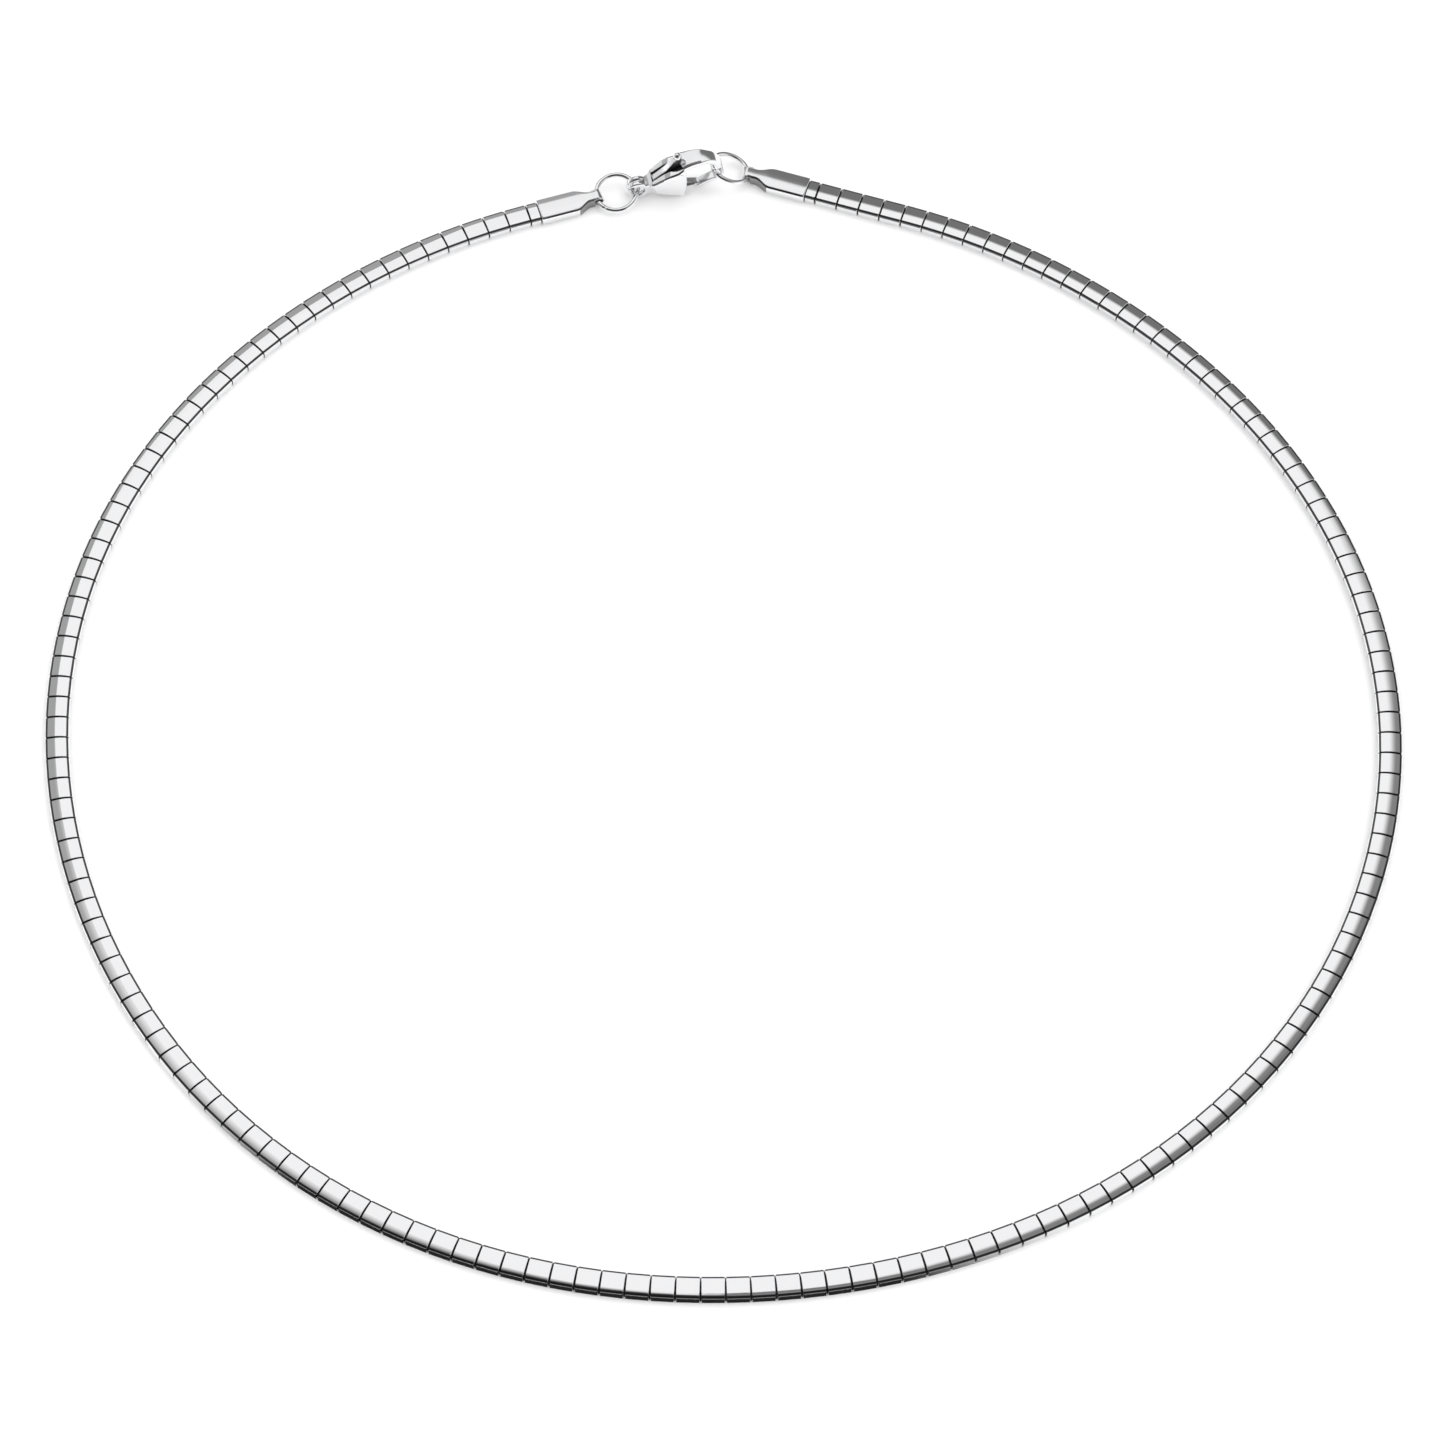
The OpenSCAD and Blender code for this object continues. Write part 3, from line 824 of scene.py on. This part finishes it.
# which faces of the clasp and lever take painted shade, by where they are and which way they look; the least
# blade is an area in square metres
claspPaint = {"flat": 0.9, "near": 0.02, "slotTo": 6.4, "edgeOutwards": (0.2, 0.85), "edgeUpwards": 0.1,
              "edgeFrom": 1.9, "edgeOut": 0.1, "leastBlade": 1e-6}


def claspSide(face):
    # where a face is and which way it looks, in the clasp's own directions
    return claspPlace.inverted() @ (face.center / mm), claspPlace.to_3x3().inverted() @ face.normal


def inSlot(face):
    # the inner walls of the two cheeks
    here, facing = claspSide(face)
    along = clasp["slotFrom"] < here.x < claspPaint["slotTo"]
    return along and abs(facing.z) > claspPaint["flat"] and abs(here.z) < clasp["slotHalf"] + claspPaint["near"]


def onClaspShadeLine(face):
    # the narrow rounded edges along the spine
    here, facing = claspSide(face)
    low, high = claspPaint["edgeOutwards"]
    isEdge = low < abs(facing.z) < high and facing.y > claspPaint["edgeUpwards"]
    isOut = abs(here.z) > clasp["slotHalf"] + claspPaint["edgeOut"]
    return isEdge and isOut and here.x > claspPaint["edgeFrom"]


claspShell = joined(makeEye(), makeNeck(), makeCheek(1), makeCheek(-1), makeHook())
claspBody = addPiece("claspBody", placed(claspShell, claspPlace), claspSteel, "neck_ring",
                     ["clasp_body"])
# the slot's inner walls take painted shade
paintFaces(claspBody, recessSteel, inSlot)
# the spine's rounded edges take a fainter painted dark line
paintFaces(claspBody, seamSteel, onClaspShadeLine)
dress("clasp_pin", claspSteel)
print("clasp body made")

# the lever's side view runs from its tail to the nub, down the gate to its tip and back up the inner side
lever = {"half": 0.4, "ease": 0.07, "nubAt": (6.0, 3.37), "nubRadius": 0.517, "nubLayers": 16, "nubSides": 28,
         "side": [(2.2, 0.95), (3.0, 1.36), (4.06, 1.95), (5.2, 2.9), (5.83, 3.15), (6.4, 3.15), (6.05, 2.4),
                  (6.2, 1.2), (6, 0.3), (5.85, -0.6), (5.72, -1.3), (5.75, -1.62), (6.63, -2.09),
                  (6.93, -2.17), (6.93, -2.28), (6.5, -2.34), (6.38, -2.47), (5.5, -2.35), (5.05, -1.9),
                  (4.95, -1), (5.05, -0.2), (4.8, 0.5), (4.1, 1), (2.3, 0.5)]}


def makeLever():
    anticlockwise = list(reversed(lever["side"]))
    run = easedRun(anticlockwise, lever["half"], lever["ease"])
    rings = [[(p, q, w) for p, q in points] for w, points in run]
    nub, (x, y) = [], lever["nubAt"]
    around = [k * math.tau / lever["nubSides"] for k in range(lever["nubSides"])]
    for i in range(1, lever["nubLayers"]):
        lift = math.pi * i / lever["nubLayers"]
        r, w = lever["nubRadius"] * math.sin(lift), lever["nubRadius"] * math.cos(lift)
        nub.append([(x + r * math.cos(turn), y + r * math.sin(turn), w) for turn in around])
    return joined(loft(rings), loft(nub))


def onBlade(face):
    # the flat sides of the blade, where they run in the slot
    here, facing = claspSide(face)
    isFlat = abs(facing.z) > claspPaint["flat"] and face.area > claspPaint["leastBlade"]
    return isFlat and abs(here.z) < lever["half"] + claspPaint["near"]


claspLever = addPiece("claspLever", placed(makeLever(), claspPlace), leverSteel, "lever",
                      ["clasp_lever"])
# the blade's sides, where they run in the slot, take painted shade
paintFaces(claspLever, recessSteel, onBlade)
print("lever made")


# A pale floor and soft studio light

ground = {"half": 2500, "colour": (0.93, 0.93, 0.93), "roughness": 0.9, "gloss": 0.1}


def makeFloor():
    half = ground["half"] * mm
    mesh = bpy.data.meshes.new("floor")
    corners = [(-half, -half, 0), (half, -half, 0), (half, half, 0), (-half, half, 0)]
    mesh.from_pydata(corners, [], [(0, 1, 2, 3)])
    floor = bpy.data.objects.new("floor", mesh)
    scene.collection.objects.link(floor)
    material = bpy.data.materials.new("paleFloor")
    material.use_nodes = True
    shader = material.node_tree.nodes["Principled BSDF"]
    shader.inputs["Base Color"].default_value = (*ground["colour"], 1)
    shader.inputs["Roughness"].default_value = ground["roughness"]
    shader.inputs["Specular IOR Level"].default_value = ground["gloss"]
    mesh.materials.append(material)
    return floor


makeFloor()


def makePanel(name, corners, faces, brightness, lights=True):
    # a glowing panel, unseen by the camera and without a shadow; with lights off it shows only in reflections
    mesh = bpy.data.meshes.new(name)
    mesh.from_pydata([Vector(corner) * mm for corner in corners], [], faces)
    panel = bpy.data.objects.new(name, mesh)
    scene.collection.objects.link(panel)
    material = bpy.data.materials.new(name)
    material.use_nodes = True
    nodes, links = material.node_tree.nodes, material.node_tree.links
    nodes.clear()
    glow, out = nodes.new("ShaderNodeEmission"), nodes.new("ShaderNodeOutputMaterial")
    glow.inputs["Strength"].default_value = brightness
    links.new(glow.outputs[0], out.inputs["Surface"])
    mesh.materials.append(material)
    panel.visible_camera = False
    panel.visible_shadow = False
    panel.visible_diffuse = lights
    return nodes, links, glow.inputs["Strength"]


# a tall white screen leans over the ring from behind, and darkens to the right and towards its foot
screen = {"left": -129, "right": 260, "foot": (138, 112), "top": (29, 1160), "brightness": 0.98,
          "fallFrom": 78, "fallTo": 190, "fallEnd": 0.24, "footBright": 140, "footShare": 0.45}


def makeScreen():
    (y0, z0), (y1, z1) = screen["foot"], screen["top"]
    left, right = screen["left"], screen["right"]
    corners = [(left, y0, z0), (right, y0, z0), (right, y1, z1), (left, y1, z1)]
    nodes, links, strength = makePanel("lightScreen", corners, [(0, 1, 2, 3)], screen["brightness"])
    place, parts = nodes.new("ShaderNodeTexCoord"), nodes.new("ShaderNodeSeparateXYZ")
    links.new(place.outputs["Object"], parts.inputs[0])
    fall = easedRamp(nodes, links, parts.outputs[0], screen["fallFrom"] * mm, screen["fallTo"] * mm)
    rise = easedRamp(nodes, links, parts.outputs[2], z0 * mm, screen["footBright"] * mm)
    sideways = mathNode(nodes, links, "MULTIPLY_ADD", fall, screen["fallEnd"] - screen["brightness"],
                        screen["brightness"])
    upwards = mathNode(nodes, links, "MULTIPLY_ADD", rise, 1 - screen["footShare"], screen["footShare"])
    links.new(mathNode(nodes, links, "MULTIPLY", sideways, upwards), strength)


# smaller cards show only in reflections: a low and a high one behind the clasp, and one far out on the left
cards = {
    "lowCard": {"corners": ((-129, 139, 104), (6, 139, 104), (6, 135, 136), (-129, 135, 136)),
                "faces": [(0, 1, 2, 3)], "brightness": 0.95},
    "highCard": {"corners": ((-47.9, 72.4, 43.6), (-37.2, 109.2, 38.6), (1.4, 122.4, 40.3),
                             (-1.0, 104.0, 57.0), (-19.8, 90.6, 59.8), (-22.5, 73.3, 61.4)),
                 "faces": [(0, 1, 4, 5), (1, 2, 3, 4)], "brightness": 0.95},
    "sideCard": {"corners": ((-250, 60, 2), (-250, 330, 2), (-250, 330, 150), (-250, 60, 150)),
                 "faces": [(0, 1, 2, 3)], "brightness": 0.78},
}

# a dark card on the floor in front of the ring is a painted reflection of the shadow there: it shows only in
# the ring's outer wall and fades out at both ends
floorShade = {"from": -146, "to": -56, "width": 40, "gap": 0.03, "lift": 0.02, "dark": 0.02, "floorLike": 1.0,
        "leftFade": (36, 54), "rightFade": (14, 32)}


def makeFloorShade():
    inner, outer = [], []
    for degrees in range(floorShade["from"], floorShade["to"] + 1):
        away = Vector((math.cos(math.radians(degrees)), math.sin(math.radians(degrees)), 0))
        near = bandCurve(degrees) + shift + away * (plate["width"] / 2 + floorShade["gap"])
        inner.append(near + Vector((0, 0, floorShade["lift"])))
        outer.append(inner[-1] + away * floorShade["width"])
    count = len(inner)
    faces = [(k, k + 1, count + k + 1, count + k) for k in range(count - 1)]
    nodes, links, strength = makePanel("darkFlag", inner + outer, faces, floorShade["dark"], lights=False)

    def calc(operation, *values):
        return mathNode(nodes, links, operation, *values)

    def fade(way, degrees):
        return easedRamp(nodes, links, way, *(math.radians(d) for d in degrees))

    place, parts = nodes.new("ShaderNodeTexCoord"), nodes.new("ShaderNodeSeparateXYZ")
    links.new(place.outputs["Object"], parts.inputs[0])
    rightward = calc("ARCTAN2", parts.outputs[0], calc("MULTIPLY", parts.outputs[1], -1))
    leftward = calc("MULTIPLY", rightward, -1)
    faded = calc("MAXIMUM", fade(leftward, floorShade["leftFade"]), fade(rightward, floorShade["rightFade"]))
    links.new(calc("MULTIPLY_ADD", faded, floorShade["floorLike"] - floorShade["dark"], floorShade["dark"]), strength)


# the rest of the room by compass direction, counted from the front: its greys, and the degrees of turn and of
# height over which each one comes in; it is dark at the front
room = {"dark": 0.21, "darkAbove": 0.03, "darkRise": (22, 50),
        "left": 0.42, "leftTurn": (58, 82), "farLeft": 0.38, "farLeftTurn": (110, 150),
        "ceilingLeft": 0.9, "ceilingLeftTurn": (75, 160), "leftRise": (55, 66),
        "nearRight": 0.9, "ceilingRight": 0.24, "rightTurn": (25, 45), "rightRise": (25, 42),
        "farRight": 0.18, "farRightTurn": (95, 130)}


def makeRoom():
    world = bpy.data.worlds.new("room")
    world.use_nodes = True
    scene.world = world
    nodes, links = world.node_tree.nodes, world.node_tree.links
    place, parts = nodes.new("ShaderNodeTexCoord"), nodes.new("ShaderNodeSeparateXYZ")
    links.new(place.outputs["Generated"], parts.inputs[0])
    x, y, z = parts.outputs

    def calc(operation, *values):
        return mathNode(nodes, links, operation, *values)

    def mix(first, second, share):
        return calc("ADD", calc("MULTIPLY", calc("SUBTRACT", 1, share), first), calc("MULTIPLY", share, second))

    rightward = calc("ARCTAN2", x, calc("MULTIPLY", y, -1))
    leftward = calc("MULTIPLY", rightward, -1)

    def turned(way, name):
        return easedRamp(nodes, links, way, *(math.radians(degrees) for degrees in room[name]))

    def risen(name):
        return easedRamp(nodes, links, z, *(math.sin(math.radians(degrees)) for degrees in room[name]))

    dark = mix(room["dark"], room["darkAbove"], risen("darkRise"))
    leftNear = mix(dark, room["left"], turned(leftward, "leftTurn"))
    leftWall = mix(leftNear, room["farLeft"], turned(leftward, "farLeftTurn"))
    leftCeiling = mix(room["darkAbove"], room["ceilingLeft"], turned(leftward, "ceilingLeftTurn"))
    leftSide = mix(leftWall, leftCeiling, risen("leftRise"))
    rightLight = mix(room["nearRight"], room["ceilingRight"], risen("rightRise"))
    rightNear = mix(dark, rightLight, turned(rightward, "rightTurn"))
    rightSide = mix(rightNear, room["farRight"], turned(rightward, "farRightTurn"))
    around = mix(leftSide, rightSide, calc("GREATER_THAN", rightward, 0))
    links.new(around, nodes["Background"].inputs["Color"])


makeScreen()
for name, form in cards.items():
    makePanel(name, form["corners"], form["faces"], form["brightness"], lights=False)
makeFloorShade()
makeRoom()

# two soft lamps light the floor: the key from behind and to the right, and a wide one from above
lamps = {
    "key": {"from": (0.5, 0.45, 1.0), "softDegrees": 50, "strength": 0.7},
    "overhead": {"from": (0.0, 0.1, 1.0), "softDegrees": 160, "strength": 3.2},
}
for name, form in lamps.items():
    lamp = bpy.data.lights.new(name, "SUN")
    lamp.angle = math.radians(form["softDegrees"])
    lamp.energy = form["strength"]
    holder = bpy.data.objects.new(name, lamp)
    holder.rotation_euler = Vector(form["from"]).to_track_quat("Z", "Y").to_euler()
    holder.visible_glossy = False
    scene.collection.objects.link(holder)

# The camera stands as in the photograph
view = {"at": (0.164, -313.28, 525.30), "aim": (0.164, -1.148, 0), "lens": 135.77, "sensor": 36,
        "nearest": 10, "farthest": 20000}
lens = bpy.data.cameras.new("camera")
lens.lens = view["lens"]
lens.sensor_width = view["sensor"]
lens.clip_start = view["nearest"] * mm
lens.clip_end = view["farthest"] * mm
camera = bpy.data.objects.new("camera", lens)
camera.location = (Vector(view["at"]) + shift) * mm
camera.rotation_euler = (Vector(view["aim"]) - Vector(view["at"])).to_track_quat("-Z", "Y").to_euler()
scene.collection.objects.link(camera)
scene.camera = camera
scene.view_settings.view_transform = "Standard"
print("studio made")
